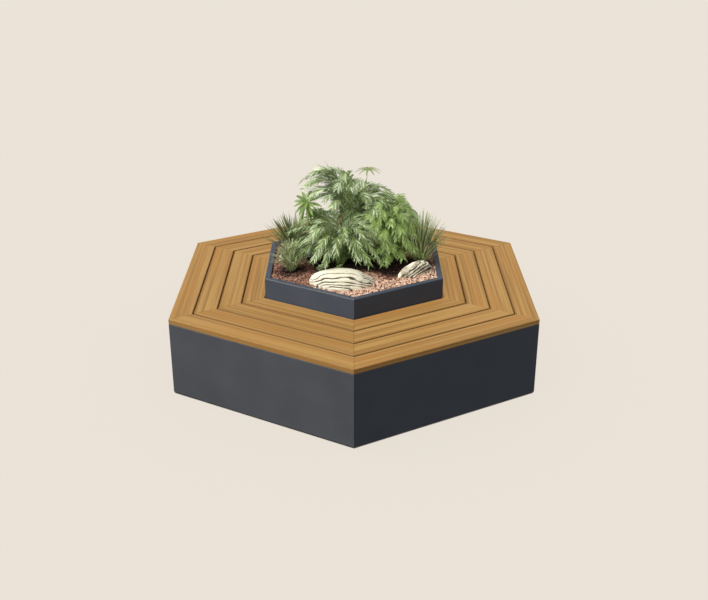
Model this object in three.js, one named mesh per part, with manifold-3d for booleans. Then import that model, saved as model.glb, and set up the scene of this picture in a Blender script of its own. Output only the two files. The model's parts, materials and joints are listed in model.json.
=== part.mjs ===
// Six-sided bench round a planted tub, as one assembly of separate pieces. Millimetres, +Z up.
// The origin is on the ground under the middle. Sides face 0, 60, 120 ... degrees from +X,
// so two of the six corners lie on the Y axis and the nearest one points along -Y.

import * as THREE from 'three';
import { mergeVertices } from 'three/addons/utils/BufferGeometryUtils.js';
import Module from 'manifold-3d';

const wasm = await Module();
wasm.setup();

// The seat
const sides = 6;
const seatHeight = 450;
const boardRings = 4;
const boardWidth = 119;
const boardThickness = 26;
const boardGap = 6;
const boardEdgeRadius = 3;
const mitreGap = 1;

// The planter tub, folded from sheet, with runners under its floor and a turned-in rim
const tubAcrossFlats = 992;
const tubRise = 116;
const tubSheet = 3;
const tubBoardGap = 4;
const rimWidth = 30;
const rimLip = 15;
const rimBendRadius = 5;
const runnerCount = 3;
const runnerSpacing = 280;
const runnerWidth = 60;
const runnerHeight = 20;
const runnerInset = 12;
const drainDiameter = 20;
const drainSpacing = 180;
const drainsInRow = 3;

// The folded skirt panels
const skirtSheet = 3;
const skirtReturn = 30;
const skirtBendRadius = 5;
const skirtFloorGap = 6;
const skirtSeam = 0.6;

// The ribs that carry the boards
const ribSheet = 5;
const cornerFlangeWidth = 120;
const middleFlangeWidth = 60;
const flangeReturnGap = 1;
const endPlateWidth = 100;
const endPlateInset = 20;
const cornerRibDepth = 240;
const middleRibDepth = 130;
const middleRibTipDepth = 80;
const legWidth = 120;
const legFillet = 50;
const lightHoleMargin = 30;
const lightHoles = 3;
const screwHoleDiameter = 9;
const screwHoleFromWeb = 20;
const screwHoleFromMitre = 42;

// The levelling feet and what they screw into
const padDiameter = 76;
const padThickness = 10;
const padTopDiameter = 34;
const neckHeight = 8;
const nutAcrossFlats = 28;
const nutHeight = 8;
const studDiameter = 16;
const studLength = 72;
const studChamfer = 2;
const sleeveDiameter = 34;
const sleeveHeight = 90;
const footPlateThickness = 6;
const footPlateLength = 110;
const footPlateWidth = 84;
const footClearance = 12;

// The bed
const bedBelowRim = 21;
const bedMound = 16;
const bedMoundShare = 0.55;

// The stones, each at a place given as shares of the tub's half width, and turned by some degrees
const frontStone = {
  name: 'rock_front',
  length: 388,
  depth: 250,
  height: 98,
  placeShares: [-0.13, -0.65],
  turnAngle: -4,
  waveAngle: 0.4,
};
const rightStone = {
  name: 'rock_right',
  length: 214,
  depth: 150,
  height: 76,
  placeShares: [0.7, -0.35],
  turnAngle: 42,
  waveAngle: 1.7,
};
const leftStone = {
  name: 'rock_left',
  length: 150,
  depth: 104,
  height: 62,
  placeShares: [-0.79, 0.1],
  turnAngle: 78,
  waveAngle: 2.9,
};
const stoneLumpShare = 0.07;
const stoneBedShare = 0.55;

// Leaves
const leafThickness = 1.6;
const leafletDroopShare = 0.22;
const leafRingShare = 0.55;
const budRingShare = 0.8;
const heartShare = 3;
const leafletLengthShares = [0.45, 0.9, -1.1];
const bladeFootShare = 0.32;
const innerSpreadShare = 0.2;
const outerHeightShare = 0.55;
const stemTopShare = 0.35;
const growthShares = [1, 0.88, 0.76, 0.64, 0.52, 0.4];
const goldenAngle = 137.5;

// Each plant: root as shares of the tub's half width, the height and spread of its tallest and widest
// leaf, and for each leaf its heading in degrees, then its spread, crest and tip as shares of those
const tallFern = {
  name: 'tall_fern',
  rootShares: [-0.04, 0.12],
  height: 564,
  spread: 280,
  crown: 34,
  stalk: 7,
  leaflet: 64,
  leaflets: 6,
  bareShare: 0.42,
  archShares: [0.06, 0.86, 0.36, 1.14],
  leafShares: [
    [178, 1, 0.99, 0.85],
    [206, 0.92, 0.84, 0.72],
    [150, 0.88, 0.94, 0.82],
    [14, 0.9, 0.8, 0.68],
    [52, 0.72, 0.84, 0.72],
    [98, 0.7, 0.86, 0.74],
    [240, 0.66, 0.9, 0.8],
    [318, 0.8, 0.76, 0.64],
    [356, 1.36, 0.8, 0.47],
    [192, 0.84, 0.62, 0.54],
  ],
};
const frontFern = {
  name: 'front_fern',
  rootShares: [-0.16, -0.16],
  height: 300,
  spread: 282,
  crown: 30,
  stalk: 7,
  leaflet: 56,
  leaflets: 6,
  bareShare: 0.2,
  archShares: [0.12, 0.74, 0.42, 1.22],
  leafShares: [
    [186, 1, 0.84, 0.7],
    [210, 0.94, 0.6, 0.36],
    [148, 0.7, 1.06, 0.98],
    [236, 0.84, 0.8, 0.4],
    [264, 0.72, 0.84, 0.46],
    [292, 0.86, 0.8, 0.4],
    [320, 1, 0.8, 0.3],
    [346, 0.96, 0.9, 0.5],
    [100, 0.5, 1, 0.94],
  ],
};
const featherPalm = {
  name: 'feather_palm',
  rootShares: [0.41, -0.08],
  height: 400,
  spread: 196,
  crown: 28,
  stalk: 7,
  leaflet: 60,
  leaflets: 5,
  bareShare: 0.24,
  archShares: [0.14, 0.72, 0.4, 1.16],
  leafShares: [
    [96, 0.5, 1, 0.94],
    [24, 0.76, 0.84, 0.7],
    [340, 0.8, 0.66, 0.44],
    [302, 0.9, 0.7, 0.4],
    [262, 1, 0.72, 0.34],
    [224, 1, 0.8, 0.42],
    [190, 0.9, 0.88, 0.6],
    [64, 0.8, 0.94, 0.84],
    [136, 0.8, 0.96, 0.8],
  ],
};
const leftTuft = {
  name: 'grass_tuft_left',
  rootShares: [-0.72, -0.31],
  height: 196,
  spread: 132,
  crown: 26,
  blade: 11,
  archShares: [0.22, 0.5, 0.56, 0.98],
  blades: 18,
  turnAngle: 20,
};
const rightTuft = {
  name: 'grass_tuft_right',
  rootShares: [0.78, -0.06],
  height: 334,
  spread: 186,
  crown: 26,
  blade: 12,
  archShares: [0.3, 0.42, 0.68, 0.86],
  blades: 17,
  turnAngle: 64,
};
const spikyTuft = {
  name: 'spiky_tuft',
  rootShares: [-0.72, 0.31],
  height: 244,
  spread: 200,
  crown: 28,
  blade: 13,
  archShares: [0.3, 0.36, 0.66, 0.72],
  blades: 17,
  turnAngle: 8,
};
const fanPlant = {
  name: 'fan_leaf_plant',
  rootShares: [-0.46, 0.06],
  crown: 20,
  stem: 9,
  bud: 22,
  height: 352,
  stemLean: 32,
  stemAngles: [248, 35],
  whorlHeightShares: [1, 0.72],
  leaf: 104,
  leafWidth: 24,
  leavesInWhorl: 8,
  whorlAngle: 16,
  whorlDroopShare: 0.42,
};
const umbrella = {
  rise: 526,
  lean: 100,
  bud: 12,
  leaf: 84,
  leafWidth: 12,
  leavesInWhorl: 6,
  whorlAngle: 0,
  whorlDroopShare: 0.34,
};
const whorlLiftShares = [-0.1, 0.35];
const whorlArchShares = [0.3, 1, 0.7, 1.1];

// Clearances
const seatGap = 0.3;
const cutOverrun = 5;

// Finishes, read from the photograph
const timber = new THREE.MeshStandardMaterial({ color: 0xb88c55, roughness: 0.7, metalness: 0 });
const powderCoat = new THREE.MeshStandardMaterial({ color: 0x3a3f45, roughness: 0.55, metalness: 0.1 });
const zincPlate = new THREE.MeshStandardMaterial({ color: 0x8f9496, roughness: 0.4, metalness: 0.9 });
const mulch = new THREE.MeshStandardMaterial({ color: 0xb87c60, roughness: 1, metalness: 0 });
const paleStone = new THREE.MeshStandardMaterial({ color: 0xdcd2b4, roughness: 0.95, metalness: 0 });
const fernGreen = new THREE.MeshStandardMaterial({ color: 0x5f8a58, roughness: 0.7, metalness: 0 });
const palmGreen = new THREE.MeshStandardMaterial({ color: 0x5c8c38, roughness: 0.65, metalness: 0 });
const grassGreen = new THREE.MeshStandardMaterial({ color: 0x4d6b42, roughness: 0.7, metalness: 0 });

// Places worked out from the driving dimensions. An apothem is a distance from the middle to a flat side.
const halfTurn = Math.PI;
const quarterTurn = halfTurn / 2;
const sideTurn = 2 * halfTurn / sides;
const halfSideTurn = sideTurn / 2;
const tubApothem = tubAcrossFlats / 2;
const boardPitch = boardWidth + boardGap;
const seatInnerApothem = tubApothem + tubBoardGap;
const outerApothem = seatInnerApothem + boardRings * boardPitch - boardGap;
const boardUnderside = seatHeight - boardThickness;
const bearerTop = boardUnderside - seatGap;
const rimTop = seatHeight + tubRise;
const tubFloor = runnerHeight + tubSheet;
const bedTop = rimTop - bedBelowRim;
const ribOuterApothem = outerApothem - skirtSheet - seatGap;
const ribInnerApothem = tubApothem + seatGap;
const flangeOuterApothem = outerApothem - skirtReturn - flangeReturnGap;
const neckTop = padThickness + neckHeight;
const nutTop = neckTop + nutHeight;
const footPlateUnderside = nutTop + seatGap;
const footReach = (outerApothem - skirtReturn - footClearance - padDiameter / 2) / Math.cos(halfSideTurn);

const bench = new THREE.Group();

function degrees(angle) {
  return angle * halfTurn / 180;
}

function toSolid(geometry) {
  const bare = geometry.clone();
  bare.deleteAttribute('normal');
  bare.deleteAttribute('uv');
  const welded = mergeVertices(bare);
  const corners = welded.index.array;
  const kept = [];
  for (let i = 0; i < corners.length; i += 3) {
    const [a, b, c] = corners.slice(i, i + 3);
    if (a !== b && b !== c && c !== a) kept.push(a, b, c);
  }
  const vertProperties = new Float32Array(welded.attributes.position.array);
  return new wasm.Manifold(new wasm.Mesh({ numProp: 3, vertProperties, triVerts: new Uint32Array(kept) }));
}

function toGeometry(solid) {
  const { vertProperties, triVerts } = solid.getMesh();
  const geometry = new THREE.BufferGeometry();
  geometry.setAttribute('position', new THREE.BufferAttribute(vertProperties, 3));
  geometry.setIndex(new THREE.BufferAttribute(triVerts, 1));
  return geometry;
}

function addPiece(name, geometry, material) {
  geometry.computeVertexNormals();
  const mesh = new THREE.Mesh(geometry, material);
  mesh.name = name;
  bench.add(mesh);
  return mesh;
}

// A six-sided prism with its corners on the Y axis
function hexPrism(apothem, low, high) {
  const radius = apothem / Math.cos(halfSideTurn);
  const prism = new THREE.CylinderGeometry(radius, radius, high - low, sides);
  return toSolid(prism.rotateX(quarterTurn).translate(0, 0, (low + high) / 2));
}

function hexRing(inner, outer, low, high) {
  return hexPrism(outer, low, high).subtract(hexPrism(inner, low - cutOverrun, high + cutOverrun));
}

// A six-sided turned body, from a profile of apothems and heights that starts and ends on the axis
function hexTurned(profile) {
  const points = profile.map(([apothem, z]) => new THREE.Vector2(apothem / Math.cos(halfSideTurn), z));
  return toSolid(new THREE.LatheGeometry(points, sides).rotateX(quarterTurn));
}

function block(lengthX, lengthY, low, high) {
  const box = new THREE.BoxGeometry(lengthX, lengthY, high - low);
  return toSolid(box.translate(0, 0, (low + high) / 2));
}

function post(diameter, low, high, segments) {
  const cylinder = new THREE.CylinderGeometry(diameter / 2, diameter / 2, high - low, segments);
  return toSolid(cylinder.rotateX(quarterTurn).translate(0, 0, (low + high) / 2));
}

// A bar along one side, whose ends lie in the mitre planes through the corners
function mitredBar(section, endGap) {
  const bar = new THREE.ExtrudeGeometry(section, { depth: 1, bevelEnabled: false, curveSegments: 1 });
  const at = bar.attributes.position;
  for (let i = 0; i < at.count; i += 1) {
    const halfLength = at.getX(i) * Math.tan(halfSideTurn) - endGap / 2 / Math.cos(halfSideTurn);
    at.setXYZ(i, at.getX(i), (1 - 2 * at.getZ(i)) * halfLength, at.getY(i));
  }
  return bar;
}

// The seat boards: planed bars with eased top edges, laid in rings and mitred at the corners
function boardSection(inner) {
  const outer = inner + boardWidth;
  const arcHeight = seatHeight - boardEdgeRadius;
  const section = new THREE.Shape();
  section.moveTo(inner, boardUnderside);
  section.lineTo(outer, boardUnderside);
  section.absarc(outer - boardEdgeRadius, arcHeight, boardEdgeRadius, 0, quarterTurn);
  section.absarc(inner + boardEdgeRadius, arcHeight, boardEdgeRadius, quarterTurn, halfTurn);
  section.closePath();
  return section;
}

function addBoards() {
  for (let ring = 0; ring < boardRings; ring += 1) {
    const section = boardSection(seatInnerApothem + ring * boardPitch);
    for (let side = 0; side < sides; side += 1) {
      const name = `seat_board_ring${ring + 1}_side${side + 1}`;
      const board = addPiece(name, mitredBar(section, mitreGap), timber);
      board.rotation.z = side * sideTurn;
    }
  }
}

// A skirt panel: one folded sheet with a return along its top and its bottom
function skirtSection() {
  const low = skirtFloorGap;
  const high = bearerTop;
  const inner = outerApothem - skirtReturn;
  const bend = outerApothem - skirtBendRadius;
  const insideBend = skirtBendRadius - skirtSheet;
  const section = new THREE.Shape();
  section.moveTo(inner, low);
  section.absarc(bend, low + skirtBendRadius, skirtBendRadius, -quarterTurn, 0);
  section.absarc(bend, high - skirtBendRadius, skirtBendRadius, 0, quarterTurn);
  section.lineTo(inner, high);
  section.lineTo(inner, high - skirtSheet);
  section.absarc(bend, high - skirtBendRadius, insideBend, quarterTurn, 0, true);
  section.absarc(bend, low + skirtBendRadius, insideBend, 0, -quarterTurn, true);
  section.lineTo(inner, low + skirtSheet);
  section.closePath();
  return section;
}

function addSkirt() {
  for (let side = 0; side < sides; side += 1) {
    const panel = addPiece(`skirt_panel_${side + 1}`, mitredBar(skirtSection(), skirtSeam), powderCoat);
    panel.rotation.z = side * sideTurn;
  }
}

// The tub: walls, turned-in rim and floor as one six-sided section, with runners and drain holes
function tubProfile() {
  const lipInner = tubApothem - rimWidth;
  const points = [[0, runnerHeight], [tubApothem, runnerHeight]];
  const bendSteps = 3;
  for (let i = 0; i <= bendSteps; i += 1) {
    const angle = quarterTurn * i / bendSteps;
    const out = tubApothem - rimBendRadius + rimBendRadius * Math.cos(angle);
    points.push([out, rimTop - rimBendRadius + rimBendRadius * Math.sin(angle)]);
  }
  points.push([lipInner, rimTop], [lipInner, rimTop - rimLip], [lipInner + tubSheet, rimTop - rimLip]);
  points.push([lipInner + tubSheet, rimTop - tubSheet], [tubApothem - tubSheet, rimTop - tubSheet]);
  points.push([tubApothem - tubSheet, tubFloor], [0, tubFloor]);
  return points;
}

function tubRunners() {
  const footprint = hexPrism(tubApothem - runnerInset, 0, tubFloor - tubSheet / 2);
  let runners = null;
  for (let i = 0; i < runnerCount; i += 1) {
    const y = (i - (runnerCount - 1) / 2) * runnerSpacing;
    const bar = block(tubAcrossFlats, runnerWidth, 0, tubFloor).translate(0, y, 0).intersect(footprint);
    runners = runners ? runners.add(bar) : bar;
  }
  return runners;
}

function addTub() {
  let tub = hexTurned(tubProfile()).add(tubRunners());
  for (let row = 1; row < runnerCount; row += 1) {
    const y = (row - runnerCount / 2) * runnerSpacing;
    for (let i = 0; i < drainsInRow; i += 1) {
      const x = (i - (drainsInRow - 1) / 2) * drainSpacing;
      const drain = post(drainDiameter, runnerHeight - cutOverrun, tubFloor + cutOverrun, 8);
      tub = tub.subtract(drain.translate(x, y, 0));
    }
  }
  addPiece('planter_tub', toGeometry(tub), powderCoat);
}

// A rib's upright web, seen from its side. Stretch turns apothems into distances along the rib.
function webOutline(stretch, isCorner) {
  const inner = (ribInnerApothem + ribSheet / 2) * stretch;
  const outer = (ribOuterApothem - ribSheet / 2) * stretch;
  const notch = (flangeOuterApothem - ribSheet / 2) * stretch;
  const underReturn = bearerTop - skirtBendRadius - seatGap;
  const web = new THREE.Shape();
  web.moveTo(inner, bearerTop);
  if (isCorner) {
    const legInner = footReach - legWidth / 2;
    const webLow = bearerTop - cornerRibDepth;
    web.lineTo(inner, webLow);
    web.lineTo(legInner - legFillet, webLow);
    web.quadraticCurveTo(legInner, webLow, legInner, webLow - legFillet);
    web.lineTo(legInner, footPlateUnderside);
    web.lineTo(Math.min(legInner + legWidth, outer), footPlateUnderside);
    web.lineTo(outer, footPlateUnderside + legFillet);
  } else {
    web.lineTo(inner, bearerTop - middleRibDepth);
    web.lineTo(outer, bearerTop - middleRibTipDepth);
  }
  web.lineTo(outer, underReturn);
  web.lineTo(notch, underReturn);
  web.lineTo(notch, bearerTop);
  web.closePath();
  return web;
}

function addLightHoles(web, stretch) {
  const inner = (ribInnerApothem + ribSheet) * stretch + lightHoleMargin;
  const outer = flangeOuterApothem * stretch - lightHoleMargin;
  const bay = (outer - inner) / lightHoles;
  for (let i = 0; i < lightHoles; i += 1) {
    const radius = Math.min(bay, cornerRibDepth) / 2 - lightHoleMargin / 2;
    const hole = new THREE.Path();
    hole.absarc(inner + bay * (i + 0.5), bearerTop - cornerRibDepth / 2, radius, 0, 2 * halfTurn, true);
    web.holes.push(hole);
  }
}

function ribWeb(stretch, isCorner) {
  const outline = webOutline(stretch, isCorner);
  if (isCorner) addLightHoles(outline, stretch);
  const settings = { depth: ribSheet, bevelEnabled: false, curveSegments: 5 };
  const plate = new THREE.ExtrudeGeometry(outline, settings);
  return toSolid(plate.translate(0, 0, -ribSheet / 2).rotateX(quarterTurn));
}

// The end plates and the top flange are cut from six-sided rings, so at a corner they fold round it
function ribPlates(heading, flangeWidth, innerDepth, outerDepth) {
  const span = 2 * outerApothem;
  const strip = (width, low, high) => block(span, width, low, high)
    .translate(span / 2, 0, 0).rotate([0, 0, heading]);
  const flange = hexRing(ribInnerApothem, flangeOuterApothem, bearerTop - ribSheet, bearerTop);
  const plateHigh = bearerTop - endPlateInset;
  const innerLow = bearerTop - innerDepth;
  const outerLow = bearerTop - outerDepth;
  const innerPlate = hexRing(ribInnerApothem, ribInnerApothem + ribSheet, innerLow, plateHigh);
  const outerPlate = hexRing(ribOuterApothem - ribSheet, ribOuterApothem, outerLow, plateHigh);
  return [
    flange.intersect(strip(flangeWidth, bearerTop - ribSheet, bearerTop)),
    innerPlate.intersect(strip(endPlateWidth, innerLow, plateHigh)),
    outerPlate.intersect(strip(endPlateWidth, outerLow, plateHigh)),
  ];
}

function drillScrewHoles(rib, heading, places) {
  let drilled = rib;
  for (const [x, y] of places) {
    const hole = post(screwHoleDiameter, bearerTop - ribSheet - cutOverrun, bearerTop + cutOverrun, 6);
    drilled = drilled.subtract(hole.translate(x, y, 0).rotate([0, 0, heading]));
  }
  return drilled;
}

function cornerRib(heading) {
  const stretch = 1 / Math.cos(halfSideTurn);
  const plates = ribPlates(heading, cornerFlangeWidth, cornerRibDepth, cornerRibDepth);
  const footing = footPlateUnderside;
  const footPlate = block(footPlateLength, footPlateWidth, footing, footing + footPlateThickness);
  const sleeve = post(sleeveDiameter, footing, footing + sleeveHeight, 12);
  const bore = post(studDiameter + 2 * seatGap, footing - cutOverrun, footing + sleeveHeight + cutOverrun, 8);
  let rib = ribWeb(stretch, true).add(footPlate.translate(footReach, 0, 0));
  rib = rib.add(sleeve.translate(footReach, 0, 0)).subtract(bore.translate(footReach, 0, 0));
  rib = rib.rotate([0, 0, heading]).intersect(hexPrism(ribOuterApothem, 0, seatHeight));
  for (const plate of plates) rib = rib.add(plate);
  const places = [];
  for (let ring = 0; ring < boardRings; ring += 1) {
    const apothem = seatInnerApothem + ring * boardPitch + boardWidth / 2;
    const along = apothem * stretch - screwHoleFromMitre * Math.sin(halfSideTurn);
    const aside = screwHoleFromMitre * Math.cos(halfSideTurn);
    if (along < flangeOuterApothem * stretch) places.push([along, aside], [along, -aside]);
  }
  return drillScrewHoles(rib, heading, places);
}

function middleRib(heading) {
  const plates = ribPlates(heading, middleFlangeWidth, middleRibDepth, middleRibTipDepth);
  let rib = ribWeb(1, false).rotate([0, 0, heading]);
  for (const plate of plates) rib = rib.add(plate);
  const places = [];
  for (let ring = 0; ring < boardRings; ring += 1) {
    const along = seatInnerApothem + ring * boardPitch + boardWidth / 2;
    const handed = ring % 2 ? screwHoleFromWeb : -screwHoleFromWeb;
    places.push([along, handed]);
  }
  return drillScrewHoles(rib, heading, places);
}

function addRibs() {
  for (let side = 0; side < sides; side += 1) {
    const middleHeading = side * 360 / sides;
    const cornerHeading = middleHeading + 180 / sides;
    addPiece(`corner_rib_${side + 1}`, toGeometry(cornerRib(cornerHeading)), powderCoat);
    addPiece(`middle_rib_${side + 1}`, toGeometry(middleRib(middleHeading)), powderCoat);
  }
}

// A levelling foot: a turned pad and neck, a spanner hexagon and a stud that runs up into the rib's sleeve
function levellingFoot() {
  const pad = [[0, 0], [padDiameter / 2, 0], [padDiameter / 2, padThickness / 2]];
  pad.push([padTopDiameter / 2, padThickness], [padTopDiameter / 2, neckTop], [0, neckTop]);
  const padPoints = pad.map(([radius, z]) => new THREE.Vector2(radius, z));
  const base = toSolid(new THREE.LatheGeometry(padPoints, 12).rotateX(quarterTurn));
  const nut = post(nutAcrossFlats / Math.cos(degrees(30)), neckTop - padThickness / 2, nutTop, 6);
  const studTop = nutTop + studLength;
  const stud = [[0, neckTop], [studDiameter / 2, neckTop], [studDiameter / 2, studTop - studChamfer]];
  stud.push([studDiameter / 2 - studChamfer, studTop], [0, studTop]);
  const studPoints = stud.map(([radius, z]) => new THREE.Vector2(radius, z));
  return base.add(nut).add(toSolid(new THREE.LatheGeometry(studPoints, 8).rotateX(quarterTurn)));
}

function addFeet() {
  for (let side = 0; side < sides; side += 1) {
    const heading = (side + 0.5) * sideTurn;
    const foot = addPiece(`levelling_foot_${side + 1}`, toGeometry(levellingFoot()), zincPlate);
    foot.position.set(footReach * Math.cos(heading), footReach * Math.sin(heading), 0);
    foot.rotation.z = heading;
  }
}

// The bed of drainage, soil and mulch: it fills the tub and is gently heaped towards the middle
function bedHeight(x, y) {
  const side = Math.round(Math.atan2(y, x) / sideTurn) * sideTurn;
  const apothem = x * Math.cos(side) + y * Math.sin(side);
  const edge = tubApothem - tubSheet;
  const rise = (edge - apothem) / (edge * (1 - bedMoundShare));
  return bedTop + bedMound * Math.min(rise, 1);
}

function bedSolid(lift) {
  const edge = tubApothem - tubSheet - seatGap;
  const crest = bedTop + bedMound + lift;
  const shoulder = edge * bedMoundShare;
  return hexTurned([[0, tubFloor + seatGap], [edge, tubFloor + seatGap], [edge, bedTop + lift],
    [shoulder, crest], [0, crest]]);
}

function onBed([acrossShare, deepShare]) {
  const x = acrossShare * (tubApothem - tubSheet);
  const y = deepShare * (tubApothem - tubSheet);
  return [x, y, bedHeight(x, y)];
}

// A stone: a lumpy, flattened ball with worn layers, its underside cut to the bed that it lies in
function stone({ length, depth, height, placeShares, turnAngle, waveAngle }) {
  const ball = new THREE.SphereGeometry(1, 15, 11).rotateX(quarterTurn);
  const at = ball.attributes.position;
  const point = new THREE.Vector3();
  for (let i = 0; i < at.count; i += 1) {
    point.fromBufferAttribute(at, i);
    const layer = Math.sin(9 * point.z + 2 * point.x + waveAngle);
    const lump = Math.sin(3 * point.x + 2 * waveAngle) * Math.cos(4 * point.y - waveAngle);
    const share = 1 + stoneLumpShare * (lump + layer / 2) * (1 - point.z * point.z);
    at.setXYZ(i, point.x * share * length / 2, point.y * share * depth / 2, point.z * height);
  }
  const [x, y, z] = onBed(placeShares);
  const sunk = height * (1 - stoneBedShare) / 2;
  return toSolid(ball).rotate([0, 0, turnAngle]).translate(x, y, z - sunk);
}

// A leaf lies along an arch in an upright plane: out from the root, up over a crest and down to its tip
function archCurve(reach, crest, tip, [leanShare, riseShare, crestShare, overShare]) {
  return new THREE.CubicBezierCurve(
    new THREE.Vector2(0, 0),
    new THREE.Vector2(reach * leanShare, crest * riseShare),
    new THREE.Vector2(reach * crestShare, crest * overShare),
    new THREE.Vector2(reach, tip),
  );
}

// A point of a leaf, a share of the way along its arch, aside from it and above or below its sheet
function leafPoint(arch, along, aside, lift) {
  const at = arch.getPoint(along);
  const slope = arch.getTangent(along);
  const droop = Math.abs(aside) * leafletDroopShare;
  return [at.x - slope.y * lift, aside, at.y + slope.x * lift - droop];
}

// Closes the space between an upper and a lower sheet of the same triangles, with a wall at each open edge
function thickSheet(points, triangles, place) {
  const edges = new Map();
  const faces = [];
  const lower = points.length;
  for (const [a, b, c] of triangles) {
    faces.push(a, b, c, c + lower, b + lower, a + lower);
    for (const [from, to] of [[a, b], [b, c], [c, a]]) edges.set(`${from} ${to}`, [from, to]);
  }
  for (const [from, to] of edges.values()) {
    if (!edges.has(`${to} ${from}`)) faces.push(to, from, from + lower, to, from + lower, to + lower);
  }
  const upperPoints = points.map(([along, aside]) => place(along, aside, 0.5));
  const lowerPoints = points.map(([along, aside]) => place(along, aside, -0.5));
  const vertProperties = new Float32Array([...upperPoints, ...lowerPoints].flat());
  return new wasm.Manifold(new wasm.Mesh({ numProp: 3, vertProperties, triVerts: new Uint32Array(faces) }));
}

// The flat pattern of a leaf: a tapering strip of stations, and a leaflet on each side of a bay that has one
function leafPattern(stations, leafletLength, lead) {
  const points = [];
  const triangles = [];
  stations.forEach(([along, half], i) => {
    const last = i === stations.length - 1;
    if (last) points.push([along, 0]);
    else points.push([along, half], [along, -half]);
  });
  for (let i = 0; i < stations.length - 2; i += 1) {
    const [left, right, nextLeft, nextRight] = [2 * i, 2 * i + 1, 2 * i + 2, 2 * i + 3];
    triangles.push([right, nextRight, nextLeft], [right, nextLeft, left]);
    const [along, half] = stations[i];
    const length = leafletLength(along);
    if (length > half) {
      const tip = points.length;
      const tipAlong = Math.min(stations[i + 1][0] + lead, 1);
      points.push([tipAlong, half + length], [tipAlong, -half - length]);
      triangles.push([left, nextLeft, tip], [nextRight, right, tip + 1]);
    }
  }
  const end = 2 * (stations.length - 1);
  triangles.push([end - 1, end, end - 2]);
  return { points, triangles };
}

function growLeaf({ points, triangles }, arch, thickness, widen) {
  const grown = points.map(([along, aside]) => [along, aside + Math.sign(aside) * widen]);
  const place = (along, aside, side) => leafPoint(arch, along, aside, side * thickness);
  return thickSheet(grown, triangles, place);
}

function frondPattern({ stalk, leaflet, leaflets, bareShare }) {
  const stations = [[0, stalk / 2]];
  for (let i = 0; i <= leaflets; i += 1) {
    const along = bareShare + (1 - bareShare) * i / (leaflets + 1);
    stations.push([along, stalk / 2 * (1 - along / 2)]);
  }
  stations.push([1, 0]);
  const lead = (1 - bareShare) / (leaflets + 1) / 2;
  const lengthAt = (along) => {
    const share = (along - bareShare) / (1 - bareShare);
    const [foot, slope, curve] = leafletLengthShares;
    return share < 0 ? 0 : leaflet * (foot + slope * share + curve * share * share);
  };
  return leafPattern(stations, lengthAt, lead);
}

function bladePattern(width) {
  const stations = [[0, width * bladeFootShare], [0.5, width / 2], [1, 0]];
  return leafPattern(stations, () => 0, 0);
}

// The crown that a plant's leaves spring from, half sunk in the bed
function crown(radius) {
  return toSolid(new THREE.SphereGeometry(radius, 7, 4).rotateX(quarterTurn));
}

// A fern's or palm's leaves, as headings, arches and one pattern
function frondLeaves(plant) {
  const pattern = frondPattern(plant);
  return plant.leafShares.map(([heading, spreadShare, crestShare, tipShare]) => ({
    heading,
    pattern,
    foot: [0, 0, 0],
    heart: plant.crown * heartShare,
    out: plant.crown * leafRingShare,
    arch: (grow) => archCurve(plant.spread * spreadShare * grow, plant.height * crestShare * grow,
      plant.height * tipShare * grow, plant.archShares),
  }));
}

// A tuft's blades: each turns on by the golden angle, and the later ones stand steeper and taller
function tuftLeaves(plant) {
  const pattern = bladePattern(plant.blade);
  const leaves = [];
  for (let i = 0; i < plant.blades; i += 1) {
    const inward = i / plant.blades;
    const spread = plant.spread * (1 - (1 - innerSpreadShare) * inward);
    const height = plant.height * (outerHeightShare + (1 - outerHeightShare) * Math.sqrt(inward));
    leaves.push({
      heading: plant.turnAngle + i * goldenAngle,
      pattern,
      foot: [0, 0, 0],
      heart: plant.crown * heartShare,
      out: plant.crown * leafRingShare * (1 - inward / 2),
      arch: (grow) => archCurve(spread * grow, height * grow, height * grow, plant.archShares),
    });
  }
  return leaves;
}

// Leaves that spread from the top of a stem like fingers, every second one standing higher
function whorlLeaves(foot, turn, { bud, leaf, leafWidth, leavesInWhorl, whorlDroopShare }) {
  const pattern = bladePattern(leafWidth);
  const leaves = [];
  for (let i = 0; i < leavesInWhorl; i += 1) {
    const lift = leaf * whorlLiftShares[i % 2];
    leaves.push({
      heading: turn + i * 360 / leavesInWhorl,
      pattern,
      foot,
      heart: bud / 2 * heartShare,
      out: bud / 2 * budRingShare,
      arch: (grow) => archCurve(leaf * grow, lift, lift - leaf * whorlDroopShare * grow, whorlArchShares),
    });
  }
  return leaves;
}

// A stem from the crown to the point where its whorl of leaves springs from a bud
function stem(top, diameter, bud) {
  const line = new THREE.Vector3(...top);
  const rod = new THREE.CylinderGeometry(diameter * stemTopShare, diameter / 2, line.length(), 6);
  rod.translate(0, line.length() / 2, 0);
  const upright = new THREE.Vector3(0, 1, 0);
  rod.applyQuaternion(new THREE.Quaternion().setFromUnitVectors(upright, line.normalize()));
  return toSolid(rod).add(toSolid(new THREE.SphereGeometry(bud / 2, 6, 4)).translate(...top));
}

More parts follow.
